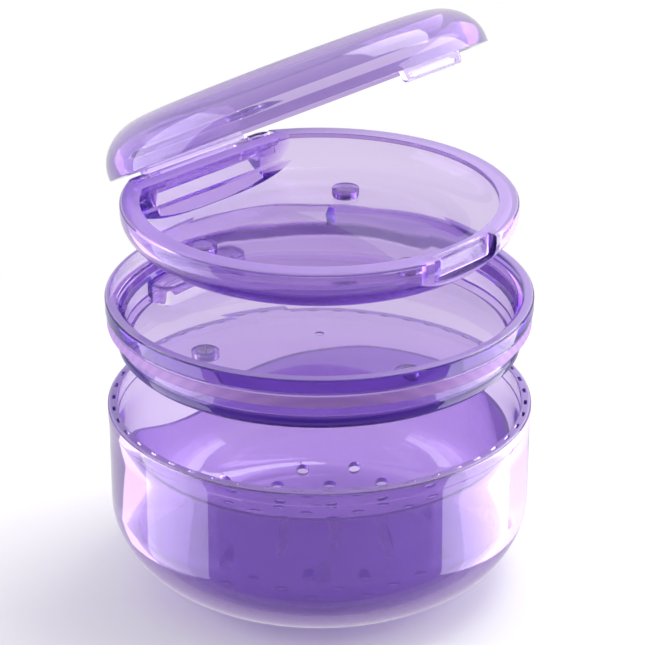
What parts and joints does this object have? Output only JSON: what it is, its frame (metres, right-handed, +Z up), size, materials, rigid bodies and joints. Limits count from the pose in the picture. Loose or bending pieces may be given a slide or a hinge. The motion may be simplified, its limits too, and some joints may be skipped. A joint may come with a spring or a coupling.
{
  "type": "denture case",
  "caption": "Denture case in clear violet plastic: soaking cup with strainer basket, magnetic base that lids the cup, and a hinged carrying case, shown lifted apart.",
  "frame": {"origin": "centre of the cup's flat base, on the surface it stands on", "axes": "+Z up; the case's hinge lies at +Y with its axis along X, and the latch faces -Y"},
  "size_m": [0.094, 0.094, 0.1319],
  "materials": {
    "cup_clear": "clear lilac, polished",
    "basket_violet": "clear violet, polished",
    "base_violet": "clear violet, polished",
    "gasket_silicone": "translucent violet silicone",
    "magnet_nickel": "bright nickel plate",
    "cap_clear": "clear violet, polished",
    "tray_violet": "clear violet, polished",
    "lid_clear": "clear lilac, polished",
    "pin_clear": "clear lilac, polished"
  },
  "bodies": {
    "cup": {"soak_cup": "cup_clear"},
    "basket": {"strainer_basket": "basket_violet"},
    "base": {"base_tray": "base_violet", "base_gasket": "gasket_silicone", "base_magnet_left": "magnet_nickel", "base_magnet_right": "magnet_nickel", "base_magnet_front": "magnet_nickel", "base_cap_left": "cap_clear", "base_cap_right": "cap_clear", "base_cap_front": "cap_clear"},
    "case": {"case_tray": "tray_violet", "case_magnet_left": "magnet_nickel", "case_magnet_right": "magnet_nickel", "case_magnet_front": "magnet_nickel", "case_cap_left": "cap_clear", "case_cap_right": "cap_clear", "case_cap_front": "cap_clear", "hinge_pin_left": "pin_clear", "hinge_pin_right": "pin_clear"},
    "lid": {"case_lid": "lid_clear"}
  },
  "joints": [
    {"name": "basket_lift", "type": "slide", "parent": "cup", "child": "basket", "axis": [0, 0, 1], "range_m": [0, 0.038]},
    {"name": "base_lift", "type": "slide", "parent": "basket", "child": "base", "axis": [0, 0, 1], "range_m": [-0.0193, 0.02]},
    {"name": "case_lift", "type": "slide", "parent": "base", "child": "case", "axis": [0, 0, 1], "range_m": [-0.0215, 0.02]},
    {"name": "lid_hinge", "type": "hinge", "parent": "case", "child": "lid", "pos_m": [0, 0.0374, 0.0854], "axis": [-1, 0, 0], "range_deg": [-28.5, 7.5]}
  ]
}
